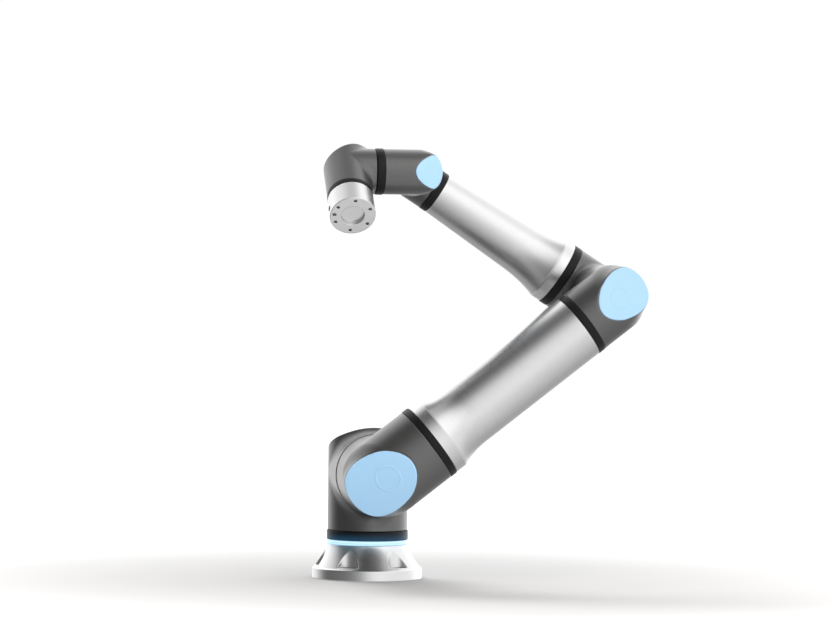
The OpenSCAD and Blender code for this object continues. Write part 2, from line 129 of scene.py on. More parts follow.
CAMERA_AT = (-1.1034, -8.2054, 0.6468)
CAMERA_YAW = math.radians(8.37)
CAMERA_PITCH = math.radians(-0.37)
CAMERA_ROLL = math.radians(0.67)
CAMERA_LENS = 160.63702   # millimetres, on a sensor 36 mm wide

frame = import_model()


# ---------------------------------------------------------------- places
def unit(v):
    v = np.asarray(v, float)
    return v / np.linalg.norm(v)


class Place:
    """A link's own frame: origin in metres, X along the link, Y along the joint, millimetres inside."""

    def __init__(self, origin, x, y):
        self.origin = np.asarray(origin, float)
        self.x = unit(x)
        self.y = unit(y)
        self.z = np.cross(self.x, self.y)
        self.axes = np.array([self.x, self.y, self.z])

    def world(self, points):
        return self.origin + (np.asarray(points, float) * MM) @ self.axes

    def turn(self, vectors):
        return np.asarray(vectors, float) @ self.axes


JOINTS = {j["name"]: j for j in frame["joints"]}


def joint_at(name):
    return np.array(JOINTS[name]["pos_m"], float)


BACK = np.array([0.0, 1.0, 0.0])
FRONT = -BACK
UP = np.array([0.0, 0.0, 1.0])
shoulder_at = joint_at("joint_2_shoulder")
elbow_at = joint_at("joint_3_elbow")
fore_end = joint_at("joint_4_wrist_1")
wrist_1_at = joint_at("joint_5_wrist_2")
wrist_2_at = joint_at("joint_6_tool")
fore_start = np.array([elbow_at[0], fore_end[1], elbow_at[2]])
tool_axis = unit(JOINTS["joint_6_tool"]["axis"])
arm_dir = unit(elbow_at - shoulder_at)
fore_dir = unit(fore_end - fore_start)
wrist_dir = unit(wrist_2_at - wrist_1_at)
UPPER_LENGTH = np.linalg.norm(elbow_at - shoulder_at) / MM
FORE_LENGTH = np.linalg.norm(fore_end - fore_start) / MM
SHOULDER_Y = -shoulder_at[1] / MM
FORE_Y = -fore_end[1] / MM
WRIST_Y = -wrist_1_at[1] / MM
WRIST_2_X = np.linalg.norm(wrist_2_at - wrist_1_at) / MM
SHOULDER_Z = shoulder_at[2] / MM

BASE = Place((0, 0, 0), (1, 0, 0), (0, 1, 0))
TURRET = Place((0, 0, shoulder_at[2]), FRONT, -UP)
SHOULDER = Place(shoulder_at, arm_dir, BACK)
ELBOW = Place(elbow_at, -arm_dir, BACK)
FOREARM = Place(fore_start, fore_dir, FRONT)
FORE_END = Place(fore_end, -fore_dir, FRONT)
WRIST_1 = Place(wrist_1_at, wrist_dir, BACK)
WRIST_2 = Place(wrist_2_at, -wrist_dir, tool_axis)


# ---------------------------------------------------------------- fields
def smax(a, b, k):
    """Larger of two fields, with their crease rounded over about k"""
    h = np.maximum(k - np.abs(a - b), 0.0) / k
    return np.maximum(a, b) + h * h * k / 4


def smin(a, b, k):
    """Smaller of two fields, with a fillet of about k"""
    return -smax(-a, -b, k)


def inner_bend(p, first, second, r, fillet):
    """Two crossing cylinders with a fillet that fades towards their sides, where they touch"""
    return smin(first, second, fillet * np.clip(1 - (p[2] / r) ** 2, 0, 1) + 0.01)


def cylinder_y(p, r):
    return np.hypot(p[0], p[2]) - r


def cylinder_x(p, r):
    return np.hypot(p[1], p[2]) - r


def above_cap(p, r, cut):
    """Height over the cap's plane, which is given by its height as a share of r and its slope"""
    return (-p[1] - cut[0] * r - cut[1] * p[0]) / math.hypot(1, cut[1])


def mitred(p, r, fillet, crease):
    """Bend whose outer corner is where its joint cylinder and its leg cylinder meet"""
    joint_side = np.hypot(np.minimum(p[0], 0), p[2]) - r
    leg_side = np.hypot(np.minimum(p[1], 0), p[2]) - r
    inner = inner_bend(p, cylinder_y(p, r), cylinder_x(p, r), r, fillet)
    corner = np.clip((-p[0] - p[1]) / (CORNER_SPAN * r), 0, 1)
    fade = corner ** 2 * (3 - 2 * corner)
    return np.maximum(smax(joint_side, leg_side, crease * fade + 0.01), inner)


def full(p, r, fillet):
    """Bend whose joint cylinder runs on past its leg"""
    joint_side = np.hypot(np.minimum(p[0], 0), p[2]) - r
    leg = np.maximum(cylinder_x(p, r), -p[0])
    return np.maximum(joint_side, inner_bend(p, cylinder_y(p, r), leg, r, fillet))


def gradient(field, p, h=0.02):
    """Slope of a field by central differences"""
    g = np.empty_like(p)
    for k in range(3):
        q = p.copy()
        q[k] += h
        high = field(q)
        q[k] -= 2 * h
        g[k] = (high - field(q)) / (2 * h)
    return g


def grid_mesh(field, low, high, step):
    """Surface of field < 0 as points, quads and normals: one point for each grid cell that the surface crosses"""
    axes = [np.arange(a - step, b + 2 * step, step) for a, b in zip(low, high)]
    grid = np.meshgrid(*axes, indexing="ij")
    value = field(np.array(grid))
    cells = tuple(n - 1 for n in value.shape)
    total = np.zeros((3,) + cells)
    count = np.zeros(cells)
    corner = [(a, b, c) for a in (0, 1) for b in (0, 1) for c in (0, 1)]
    for i, first in enumerate(corner):
        for second in corner[i + 1:]:
            if sum(abs(s - f) for f, s in zip(first, second)) != 1:
                continue
            a = value[tuple(np.s_[k:k + n] for k, n in zip(first, cells))]
            b = value[tuple(np.s_[k:k + n] for k, n in zip(second, cells))]
            crossed = (a < 0) != (b < 0)
            with np.errstate(divide="ignore", invalid="ignore"):
                t = np.where(crossed, a / (a - b), 0)
            for k in range(3):
                total[k] += np.where(crossed, first[k] + (second[k] - first[k]) * t, 0)
            count += crossed
    used = np.argwhere(count > 0)
    where = tuple(used.T)
    point = np.array([(total[k][where] / count[where] + used[:, k]) * step + axes[k][0] for k in range(3)])
    number = np.full(cells, -1)
    number[where] = np.arange(len(used))
    for _ in range(5):
        g = gradient(field, point)
        push = field(point) / np.maximum((g * g).sum(0), 1e-6)
        point -= g * np.clip(push, -0.5 * step, 0.5 * step)
    quads = []
    inside = value < 0
    for k in range(3):
        u, v = (k + 1) % 3, (k + 2) % 3
        near = [slice(1, n - 1) for n in value.shape]
        near[k] = slice(0, value.shape[k] - 1)
        far = list(near)
        far[k] = slice(1, value.shape[k])
        a, b = inside[tuple(near)], inside[tuple(far)]
        for flip in (False, True):
            edge = np.argwhere((b & ~a) if flip else (a & ~b))
            edge += np.array([s.start for s in near])
            ring = []
            for du, dv in ((0, 0), (-1, 0), (-1, -1), (0, -1)):
                cell = edge.copy()
                cell[:, u] += du
                cell[:, v] += dv
                ring.append(number[tuple(cell.T)])
            quad = np.array(ring).T
            quads.append(quad[:, ::-1] if flip else quad)
    normal = gradient(field, point)
    normal /= np.maximum(np.linalg.norm(normal, axis=0), 1e-9)
    return point.T, np.concatenate(quads), normal.T


# ---------------------------------------------------------------- pieces
def new_piece(name, points, faces, normals, finish, body, nodes):
    """Object that rides on a body in place of CAD nodes"""
    mesh = bpy.data.meshes.new(name)
    mesh.vertices.add(len(points))
    mesh.vertices.foreach_set("co", np.asarray(points, np.float32).ravel())
    size = faces.shape[1]
    mesh.loops.add(faces.size)
    mesh.loops.foreach_set("vertex_index", faces.astype(np.int32).ravel())
    mesh.polygons.add(len(faces))
    mesh.polygons.foreach_set("loop_start", np.arange(0, faces.size, size, dtype=np.int32))
    mesh.update(calc_edges=True)
    mesh.validate()
    mesh.shade_smooth()
    if normals is not None:
        mesh.normals_split_custom_set_from_vertices(np.asarray(normals, float).tolist())
    mesh.materials.append(finish)
    piece = bpy.data.objects.new(name, mesh)
    bpy.context.scene.collection.objects.link(piece)
    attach(piece, body)
    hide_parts(*nodes)
    return piece


def cast(name, field, low, high, step, place, finish, body, nodes):
    """Meshes a field in a link's frame and puts it in place"""
    points, quads, normals = grid_mesh(field, low, high, step)
    new_piece(name, place.world(points), quads, place.turn(normals), finish, body, nodes)


def rounded(profile, radius, steps=4):
    """Rounds the corners of an open profile of (distance along, radius) points"""
    out = [profile[0]]
    for before, here, after in zip(profile, profile[1:], profile[2:]):
        before, here, after = (np.array(q, float) for q in (before, here, after))
        a, b = before - here, after - here
        reach = min(radius, 0.45 * np.linalg.norm(a), 0.45 * np.linalg.norm(b))
        start, end = here + unit(a) * reach, here + unit(b) * reach
        for i in range(steps + 1):
            t = i / steps
            out.append(tuple((1 - t) ** 2 * start + 2 * t * (1 - t) * here + t ** 2 * end))
    out.append(profile[-1])
    return out


def turned(name, profile, place, axis, finish, body, nodes, around=160, sharp=38):
    """Turns a profile of (along, radius) about a place's X, Y or Z axis; edges sharper than sharp degrees stay"""
    k = "xyz".index(axis)
    u, v = (k + 1) % 3, (k + 2) % 3
    along = np.array([q[0] for q in profile])
    radius = np.array([q[1] for q in profile])
    angle = np.linspace(0, 2 * math.pi, around, endpoint=False)
    points = np.zeros((len(profile), around, 3))
    points[:, :, k] = along[:, None]
    points[:, :, u] = radius[:, None] * np.cos(angle)
    points[:, :, v] = radius[:, None] * np.sin(angle)
    rows = len(profile)
    quads = []
    a = np.arange(around)
    b = (a + 1) % around
    for i in range(rows):
        j = (i + 1) % rows
        quads.append(np.stack([i * around + a, i * around + b, j * around + b, j * around + a], 1))
    piece = new_piece(name, place.world(points.reshape(-1, 3)), np.concatenate(quads), None, finish, body, nodes)
    piece.data.set_sharp_from_angle(angle=math.radians(sharp))


# ---------------------------------------------------------------- materials
def material(name):
    """New material, its node tree and its shader"""
    made = bpy.data.materials.new(name)
    made.use_nodes = True
    tree = made.node_tree
    return made, tree, tree.nodes["Principled BSDF"]


def add(tree, kind, **settings):
    """New node, with its sockets or its properties set by name"""
    made = tree.nodes.new(kind)
    for key, value in settings.items():
        if key in made.inputs.keys():
            made.inputs[key].default_value = value
        else:
            setattr(made, key, value)
    return made


def ramp(tree, source, stops):
    """Colour ramp on a value, given as (position, colour) stops"""
    made = tree.nodes.new("ShaderNodeValToRGB")
    points = made.color_ramp.elements
    while len(points) < len(stops):
        points.new(0.5)
    for point, (position, color) in zip(points, stops):
        point.position = position
        point.color = (*color, 1) if len(color) == 3 else color
    tree.links.new(source, made.inputs["Fac"])
    return made.outputs["Color"]


def grey(v):
    return (v, v, v)


def noise(tree, scale, detail=4.0):
    place = add(tree, "ShaderNodeTexCoord")
    made = add(tree, "ShaderNodeTexNoise", Scale=scale, Detail=detail)
    tree.links.new(place.outputs["Object"], made.inputs["Vector"])
    return made.outputs["Fac"]


def speckle(tree, socket, fac, low, high):
    """Feeds a socket with a noise that runs between two greys or colours"""
    low, high = (grey(v) if isinstance(v, float) else v for v in (low, high))
    tree.links.new(ramp(tree, fac, [(0.3, low), (0.7, high)]), socket)


def bump(tree, shader, height, strength, distance):
    made = add(tree, "ShaderNodeBump", Strength=strength, Distance=distance)
    tree.links.new(height, made.inputs["Height"])
    tree.links.new(made.outputs["Normal"], shader.inputs["Normal"])


def lathe_marks(tree, place, scale):
    """Noise that is the same all the way round a turned piece's axis"""
    at = add(tree, "ShaderNodeTexCoord")
    offset = add(tree, "ShaderNodeVectorMath", operation="SUBTRACT")
    offset.inputs[1].default_value = place.origin
    along = add(tree, "ShaderNodeVectorMath", operation="DOT_PRODUCT")
    along.inputs[1].default_value = place.x
    across = add(tree, "ShaderNodeVectorMath", operation="CROSS_PRODUCT")
    across.inputs[1].default_value = place.x
    reach = add(tree, "ShaderNodeVectorMath", operation="LENGTH")
    joined = add(tree, "ShaderNodeCombineXYZ")
    made = add(tree, "ShaderNodeTexNoise", Scale=scale, Detail=3.0)
    tree.links.new(at.outputs["Object"], offset.inputs[0])
    tree.links.new(offset.outputs["Vector"], along.inputs[0])
    tree.links.new(offset.outputs["Vector"], across.inputs[0])
    tree.links.new(across.outputs["Vector"], reach.inputs[0])
    tree.links.new(along.outputs["Value"], joined.inputs["X"])
    tree.links.new(reach.outputs["Value"], joined.inputs["Y"])
    tree.links.new(joined.outputs["Vector"], made.inputs["Vector"])
    return made.outputs["Fac"]


def painted_edge_highlight(tree, color, lighter):
    """Colour that lightens on outward edges: a painted highlight"""
    geometry = add(tree, "ShaderNodeNewGeometry")
    edge = ramp(tree, geometry.outputs["Pointiness"], [(0.53, grey(0)), (0.60, grey(1))])
    blend = add(tree, "ShaderNodeMix", data_type="RGBA")
    tree.links.new(edge, blend.inputs["Factor"])
    tree.links.new(color, blend.inputs[6])
    blend.inputs[7].default_value = (*lighter, 1)
    return blend.outputs[2]


def paint():
    """Dark metallic paint with a fine orange peel, under a thin coat"""
    made, tree, shader = material("casting_paint")
    shader.inputs["Metallic"].default_value = 0.82
    shader.inputs["Coat Weight"].default_value = 0.35
    shader.inputs["Coat Roughness"].default_value = 0.28
    grain = ramp(tree, noise(tree, 900, 2), [(0.3, grey(0.115)), (0.7, grey(0.125))])
    # painted highlight: the casting paint turns a lighter grey on its outward edges
    tree.links.new(painted_edge_highlight(tree, grain, grey(0.16)), shader.inputs["Base Color"])
    speckle(tree, shader.inputs["Roughness"], noise(tree, 40), 0.35, 0.39)
    bump(tree, shader, noise(tree, 1500, 2), 0.05, 0.0001)
    return made


def painted_ring_glow(tree, shader, near, far, color):
    """Painted glow of the light ring on a surface: an emission, which fades between two heights in millimetres"""
    place = add(tree, "ShaderNodeTexCoord")
    split = add(tree, "ShaderNodeSeparateXYZ")
    fade = add(tree, "ShaderNodeMapRange", interpolation_type="SMOOTHSTEP")
    fade.inputs["From Min"].default_value = far * MM
    fade.inputs["From Max"].default_value = near * MM
    tree.links.new(place.outputs["Object"], split.inputs["Vector"])
    tree.links.new(split.outputs["Z"], fade.inputs["Value"])
    tree.links.new(ramp(tree, fade.outputs["Result"], [(0.0, grey(0.0)), (1.0, color)]),
                   shader.inputs["Emission Color"])
    shader.inputs["Emission Strength"].default_value = 1.0


def turned_metal(name, color, roughness, place):
    """Satin aluminium with fine marks round its axis"""
    made, tree, shader = material(name)
    shader.inputs["Metallic"].default_value = 1.0
    marks = lathe_marks(tree, place, 900)
    grain = ramp(tree, noise(tree, 60), [(0.35, grey(color * 0.98)), (0.65, grey(color))])
    # painted highlight: the metal turns lighter on its outward edges
    tree.links.new(painted_edge_highlight(tree, grain, grey(color * 1.1)), shader.inputs["Base Color"])
    speckle(tree, shader.inputs["Roughness"], marks, roughness - 0.02, roughness + 0.02)
    bump(tree, shader, marks, 0.05, 0.0001)
    return made


def rubber(name, with_painted_glow=False):
    """Matt black rubber; where it stands next to the light ring, it carries a painted glow of the ring as an
    emission
    """
    made, tree, shader = material(name)
    if with_painted_glow:
        # painted light: the light ring's glow on the seal ring is an emission in this material
        painted_ring_glow(tree, shader, LIGHT_TOP, MOUTH_1 - 2, (0.006, 0.045, 0.09))
    shader.inputs["Specular IOR Level"].default_value = 0.16
    speckle(tree, shader.inputs["Base Color"], noise(tree, 700, 2), (0.006, 0.0065, 0.007), (0.009, 0.0095, 0.01))
    speckle(tree, shader.inputs["Roughness"], noise(tree, 300), 0.36, 0.44)
    bump(tree, shader, noise(tree, 2500, 2), 0.1, 0.0002)
    return made


def blue_plastic():
    """Pale blue moulded plastic with a satin coat"""
    made, tree, shader = material("cap_plastic")
    shader.inputs["Coat Weight"].default_value = 0.6
    shader.inputs["Coat Roughness"].default_value = 0.14
    shader.inputs["Subsurface Weight"].default_value = 0.15
    shader.inputs["Subsurface Radius"].default_value = (0.004, 0.006, 0.008)
    speckle(tree, shader.inputs["Base Color"], noise(tree, 300, 2), (0.345, 0.59, 0.83), (0.355, 0.605, 0.845))
    speckle(tree, shader.inputs["Roughness"], noise(tree, 90), 0.34, 0.38)
    bump(tree, shader, noise(tree, 2200, 2), 0.06, 0.0002)
    return made


def glow():
    """Milky light guide, brighter in two bands"""
    made, tree, shader = material("light_ring")
    shader.inputs["Base Color"].default_value = (0.30, 0.36, 0.42, 1)
    shader.inputs["Roughness"].default_value = 0.35
    place = add(tree, "ShaderNodeTexCoord")
    split = add(tree, "ShaderNodeSeparateXYZ")
    height = add(tree, "ShaderNodeMapRange")
    height.inputs["From Min"].default_value = FOOT_TOP * MM
    height.inputs["From Max"].default_value = LIGHT_TOP * MM
    tree.links.new(place.outputs["Object"], split.inputs["Vector"])
    tree.links.new(split.outputs["Z"], height.inputs["Value"])
    stripe = ramp(tree, height.outputs["Result"], [
        (0.0, (0.16, 0.42, 0.66)), (0.25, (0.50, 0.80, 0.92)), (0.45, (0.22, 0.52, 0.78)),
        (0.6, (0.52, 0.82, 0.94)), (0.85, (0.50, 0.80, 0.92)), (1.0, (0.12, 0.30, 0.50))])
    tree.links.new(stripe, shader.inputs["Emission Color"])
    shader.inputs["Emission Strength"].default_value = 0.9
    return made


def steel(name, color, roughness):
    made, tree, shader = material(name)
    shader.inputs["Metallic"].default_value = 1.0
    dark = tuple(0.8 * c for c in color)
    speckle(tree, shader.inputs["Base Color"], noise(tree, 350), dark, color)
    speckle(tree, shader.inputs["Roughness"], noise(tree, 900), roughness - 0.06, roughness + 0.06)
    bump(tree, shader, noise(tree, 2500, 2), 0.1, 0.0001)
    return made


def plastic(name, color, roughness):
    made, tree, shader = material(name)
    dark = tuple(0.75 * c for c in color)
    speckle(tree, shader.inputs["Base Color"], noise(tree, 500), dark, color)
    speckle(tree, shader.inputs["Roughness"], noise(tree, 300), roughness - 0.05, roughness + 0.05)
    bump(tree, shader, noise(tree, 1800, 3), 0.15, 0.0002)
    return made


PAINT = paint()
RUBBER = rubber("ring_rubber")
PAINTED_GLOW_RUBBER = rubber("base_ring_rubber", True)
BLUE = blue_plastic()
GLOW = glow()
CAD_FINISH = {
    "connector_plastic": plastic("connector_plastic", (0.03, 0.03, 0.03), 0.45),
    "board": plastic("board_green", (0.02, 0.17, 0.07), 0.4),
    "bearing_steel": steel("bearing_steel", (0.62, 0.63, 0.65), 0.25),
    "gear_steel": steel("gear_steel", (0.50, 0.50, 0.52), 0.3),
    "stator_copper": steel("stator_copper", (0.72, 0.36, 0.18), 0.38),
    "rotor_steel": steel("rotor_steel", (0.56, 0.56, 0.57), 0.28),
}


# ---------------------------------------------------------------- castings and caps
def box_of(r, reach, leg):
    """Corners of the space that a bend of radius r needs, up to its cap"""
    return (-r - 3, -1.35 * r, -r - 3), (leg + 3, reach + 3, r + 3)


def shell_field(r, reach, leg, cut, fillet, crease, band, lip):
    """Fields of a bend before and after its ends and its cap are cut; without a crease it is a full bend"""
    def solid(p):
        if crease:
            return mitred(p, r, fillet, crease)
        return full(p, r, fillet)

    def field(p):
        f = smax(solid(p), p[1] - reach, 2 * GROOVE)
        f = smax(f, p[0] - leg, 2 * GROOVE)
        f = smax(f, above_cap(p, r, cut), 2.2)
        if lip:
            well = smax(solid(p) + lip, -above_cap(p, r, cut) - WELL_DEPTH, 0.6)
            f = smax(f, -well, 0.5)
        if band:
            rebate = smin(cylinder_y(p, r - BAND_DEPTH), p[1] - reach + band, 0.6)
            f = smax(f, rebate, 1.2)
        return f
    return solid, field


def cap_outline(r, cut, solid, centre, inset, angle):
    """Distance from the cap's centre to its edge, for each angle in its plane"""
    slope = math.hypot(1, cut[1])
    near, far = np.zeros_like(angle), np.full_like(angle, 2.2 * r)
    for _ in range(40):
        middle = (near + far) / 2
        x = centre + middle * np.cos(angle) / slope
        p = np.array([x, -cut[0] * r - cut[1] * x, middle * np.sin(angle)])
        inside = solid(p) < -inset
        near, far = np.where(inside, middle, near), np.where(inside, far, middle)
    return near


def cap_piece(name, r, cut, solid, place, body, centre=0.0, emblem=0.0, rim=2.6, rise=3.4, sink=0.4, inset=0.5):
    """Domed cap over a casting's slanting cut, with a rounded rim, a shadow gap under it, and a raised ring of
    radius emblem"""
    around = 240
    angle = np.linspace(0, 2 * math.pi, around, endpoint=False)
    edge = cap_outline(r, cut, solid, centre, inset, angle)
    core = 1.2 * emblem if emblem else 0.4 * edge.min()
    brow = edge - rim
    rows = []

    def height(reach):
        return rim - sink + rise * (1 - (reach / edge) ** 2.6)

    circles = [0.001, 0.25 * core, 0.5 * core, 0.7 * core]
    lifts = [0.0] * 4
    if emblem:
        circles += [emblem - 1.1, emblem - 0.6, emblem + 0.6, emblem + 1.1]
        lifts += [0.0, 0.45, 0.45, 0.0]
    circles.append(core)
    lifts.append(0.0)
    for reach, painted_floor_glow in zip(circles, lifts):
        rows.append((np.full_like(edge, reach), height(reach) + painted_floor_glow))
    for t in np.linspace(0, 1, 10)[1:]:
        reach = core + (brow - core) * t
        rows.append((reach, height(reach)))
    top = height(brow)
    for turn in np.radians(np.linspace(0, 90, 8)[1:]):
        rows.append((brow + rim * math.sin(turn), top - rim * (1 - math.cos(turn))))
    low = top - rim
    rows += [(edge - 0.8, low - 0.1), (edge - 1.2, low - 3.0), (edge * 0.5, low - 3.0)]
    slope = math.hypot(1, cut[1])
    points = []
    for reach, up in rows:
        along, across = reach * np.cos(angle), reach * np.sin(angle)
        x = centre + (along - cut[1] * up) / slope
        y = -cut[0] * r - cut[1] * centre - (cut[1] * along + up) / slope
        points.append(np.stack([x, y, across], 1))
    a = np.arange(around)
    b = (a + 1) % around
    quads = [np.stack([i * around + a, (i + 1) * around + a, (i + 1) * around + b, i * around + b], 1)
             for i in range(len(rows) - 1)]
    piece = new_piece(name + "_cap_skin", place.world(np.concatenate(points)), np.concatenate(quads), None, BLUE,
                      body, [name + "_cap"])
    piece.data.set_sharp_from_angle(angle=math.radians(50))
    piece.visible_glossy = name != "turret"


def casting(name, r, reach, leg, cut, place, body, step, fillet, cap, crease=0.0, band=0.0, lip=0.0):
    """Corner casting with its cap; a lip makes it stand round a sunk cap, and a band is the seat of a ring"""
    solid, field = shell_field(r, reach, leg, cut, fillet, crease, band, lip)
    low, high = box_of(r, reach, leg)
    cast(name + "_skin", field, low, high, step, place, PAINT, body, [name + "_housing"])
    cap_piece(name, r, cut, solid, place, body, **cap)


def knuckle(r, reach, leg, cut, place, body, step, node):
    """Closed corner without a cap, with a generous round over its outer corner"""
    def field(p):
        f = mitred(p, r, 0.32 * r, 0.5 * r)
        f = smax(f, above_cap(p, r, cut), 0.35 * r)
        f = smax(f, p[1] - reach, 2 * GROOVE)
        return smax(f, p[0] - leg, 2 * GROOVE)
    low, high = box_of(r, reach, leg)
    cast(node + "_skin", field, low, high, step, place, PAINT, body, [node])


def seal(name, place, axis, start, width, r, depth, body, node, crown, finish):
    """Ring with a rounded outside, crown proud of the castings"""
    inner, outer, end = r - depth, r + crown, start + width
    profile = rounded([(start, inner), (start, outer), (end, outer), (end, inner)], 2.6, 5)
    turned(name, profile, place, axis, finish, body, [node])


def castings():
    casting("turret", TURRET_R, SHOULDER_Z - MOUTH_1, MOUTH_2 - SEAM, (0.67, CAP_SLOPE), TURRET, "turret", 1.6, 42,
            dict(emblem=28, rim=1.2, rise=0.7, sink=2.2, inset=CAP_LIP + 0.2), lip=CAP_LIP)
    casting("shoulder", SHOULDER_R, SHOULDER_Y - MOUTH_2, RING_2[0], (0.585, SHOULDER_SLOPE), SHOULDER, "upper_arm",
            1.8, 30, dict(centre=4.0, emblem=28), crease=48)
    casting("elbow", ELBOW_R, SHOULDER_Y - MOUTH_3, RING_3[0], (0.69, CAP_SLOPE), ELBOW, "upper_arm", 1.6, 26,
            dict(emblem=23), crease=40)
    casting("wrist_1", WRIST_R, WRIST_Y - MOUTH_4, RING_6[0], (0.87, CAP_SLOPE), WRIST_1, "wrist_1", 1.2, 18,
            dict(centre=-12.0, rim=2.0, rise=2.4), crease=8)
    casting("wrist_2", WRIST_R, MOUTH_6, WRIST_2_X - MOUTH_5 - SEAM, (0.65, CAP_SLOPE), WRIST_2, "wrist_2", 1.2, 26,
            dict(rim=1.0, rise=0.6, sink=1.8, inset=CAP_LIP + 0.2), band=TOOL_BAND, lip=CAP_LIP)
    knuckle(ELBOW_R, MOUTH_3 - SEAM - FORE_Y, RING_4[0], (0.74, CAP_SLOPE), FOREARM, "forearm", 1.8,
            "forearm_elbow_knuckle")
    knuckle(KNUCKLE_R, MOUTH_4 - SEAM - FORE_Y, RING_5[0], (0.87, CAP_SLOPE), FORE_END, "forearm", 1.3,
            "forearm_wrist_knuckle")


def rings():
    for name, place, ring, r, body, node, crown in (
            ("lower_ring_skin", SHOULDER, RING_2, SHOULDER_R, "upper_arm", "upper_arm_lower_ring", 0.5),
            ("upper_ring_skin", ELBOW, RING_3, ELBOW_R, "upper_arm", "upper_arm_upper_ring", 0.7),
            ("fore_lower_ring_skin", FOREARM, RING_4, ELBOW_R, "forearm", "forearm_lower_ring", 0.5),
            ("fore_upper_ring_skin", FORE_END, RING_5, KNUCKLE_R, "forearm", "forearm_upper_ring", 0.7),
            ("wrist_1_ring_skin", WRIST_1, RING_6, WRIST_R, "wrist_1", "wrist_1_seal_ring", 1.2)):
        seal(name, place, "x", ring[0], ring[1], r, RING_DEPTH, body, node, crown, RUBBER)
    width = TOOL_OFFSET - TOOL_LENGTH - MOUTH_6 - SEAM + TOOL_BAND
    seal("wrist_2_ring_skin", WRIST_2, "y", MOUTH_6 - TOOL_BAND, width, WRIST_R, BAND_DEPTH, "wrist_2",
         "wrist_2_seal_ring", 0.3, RUBBER)
    seal("base_ring_skin", BASE, "z", LIGHT_TOP, MOUTH_1 - SEAM - LIGHT_TOP, TURRET_R, 8, "base", "base_seal_ring",
         1.5, PAINTED_GLOW_RUBBER)
    profile = rounded([(FOOT_TOP, HUB_R), (FOOT_TOP, LIGHT_R), (LIGHT_TOP, LIGHT_R), (LIGHT_TOP, HUB_R)], 1.0)
    turned("light_ring_skin", profile, BASE, "z", GLOW, "base", ["light_ring"])


# ---------------------------------------------------------------- tubes
def tube(name, place, start, end, collar, flare, r0, r1, wide, body, node, finish):
    """Collar of radius r0 with a crisp edge, a flare that dies away, and a taper from r1 + wide down to r1"""
    steps = 40
    begin = start + collar
    inner = r1 - 8
    outline = [(start, inner), (start, r0 - GROOVE), (start + GROOVE, r0), (begin - 0.5, r0), (begin, r0 - 0.5)]
    for i in range(1, steps + 1):
        x = begin + flare * i / steps
        taper = r1 + wide * (end - x) / (end - begin)
        outline.append((x, taper + (r0 - r1 - wide) * (1 - i / steps) ** 2.3))
    straight = np.linspace(begin + flare, end - GROOVE, 26)[1:]
    outline += [(x, r1 + wide * (end - x) / (end - begin)) for x in straight]
    outline += [(end, r1 - GROOVE), (end, inner)]
    turned(name, outline, place, "x", finish, body, [node], around=200, sharp=9)


def tubes():
    start = RING_2[0] + RING_2[1]
    end = UPPER_LENGTH - RING_3[0] - RING_3[1]
    finish = turned_metal("upper_tube_metal", 0.66, 0.29, SHOULDER)
    tube("upper_tube_skin", SHOULDER, start, end, 25, 75, SHOULDER_R, 74, 0, "upper_arm", "upper_arm_tube", finish)
    start = RING_4[0] + RING_4[1]
    end = FORE_LENGTH - RING_5[0] - RING_5[1]
    finish = turned_metal("fore_tube_metal", 0.66, 0.29, FOREARM)
    tube("fore_tube_skin", FOREARM, start, end, 22, 90, ELBOW_R - 0.3, 48.3, 12.3, "forearm", "forearm_tube", finish)


# ---------------------------------------------------------------- base and tool
def base():
    """Foot: flange, flared cone, six scalloped bolt pockets, hub, and the seat of the gland"""
    sector = math.pi / 3
    port_turn = math.radians(BASE_CLOCKING + 90)

    def field(p):
        radius = np.hypot(p[0], p[1])
        t = np.clip((p[2] - (LEDGE - 4)) / (FOOT_TOP - LEDGE + 4), 0, 1)
        cone = FOOT_R + (FLANGE_R - 3 - FOOT_R) * (1 - t) ** 1.35
        flange = smax(radius - FLANGE_R, p[2] - FLANGE_T, 2.4)
        body = smax((radius - cone) * 0.85, p[2] - FOOT_TOP, 1.5)
        f = smin(flange, body, 3.0)
        angle = np.arctan2(p[1], p[0]) - math.radians(BASE_CLOCKING)
        angle = (angle + sector / 2) % sector - sector / 2
        along, across = radius * np.cos(angle) - BASE_PCD / 2, radius * np.sin(angle)
        pocket = smax(np.hypot(along - POCKET_R + BOLT_ACCESS, across) - POCKET_R, LEDGE - p[2], 2.0)
        f = smax(f, -pocket, 2.0)
        f = smax(f, BOLT_R - np.hypot(along, across), 1.0)
        f = smax(f, -p[2], 1.6)
        hub = smax(radius - HUB_R, p[2] - (MOUTH_1 - 2), 1.0)
        side = -p[0] * math.sin(port_turn) + p[1] * math.cos(port_turn)
        forward = p[0] * math.cos(port_turn) + p[1] * math.sin(port_turn)
        port = np.maximum(np.hypot(side, p[2] - GLAND_Z) - GLAND_R - GLAND_MARGIN, GLAND_SEAT - forward)
        return np.maximum(np.minimum(f, hub), -port)

    r = FLANGE_R + 3
    finish = turned_metal("foot_metal", 0.70, 0.32, Place((0, 0, 0), UP, FRONT))
    shader = finish.node_tree.nodes["Principled BSDF"]
    # painted light: the light ring's glow on the top of the foot is an emission in its material
    painted_ring_glow(finish.node_tree, shader, FOOT_TOP, FOOT_TOP - 26, (0.01, 0.05, 0.08))
    cast("base_skin", field, (-r, -r, -2), (r, r, MOUTH_1), 1.5, BASE, finish, "base", ["base_casting"])


